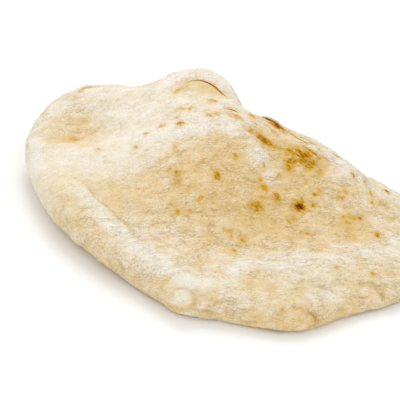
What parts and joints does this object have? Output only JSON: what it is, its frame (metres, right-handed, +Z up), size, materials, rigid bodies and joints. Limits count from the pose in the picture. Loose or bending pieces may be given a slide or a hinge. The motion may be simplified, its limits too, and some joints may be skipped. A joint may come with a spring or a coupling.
{
  "type": "pita bread",
  "caption": "Puffed round flatbread with a thick rounded rim, a raised mound off its middle and toasted spots on a floury crust.",
  "frame": {"origin": "middle of the bread's box, on the table it lies on", "axes": "+Z up through the bread's thickness, +X along its longer way across"},
  "size_m": [0.1922, 0.1648, 0.0474],
  "materials": {
    "crust": "matte floury baked crust, pale cream with toasted brown spots"
  },
  "bodies": {
    "root": {"pita": "crust"}
  },
  "joints": []
}
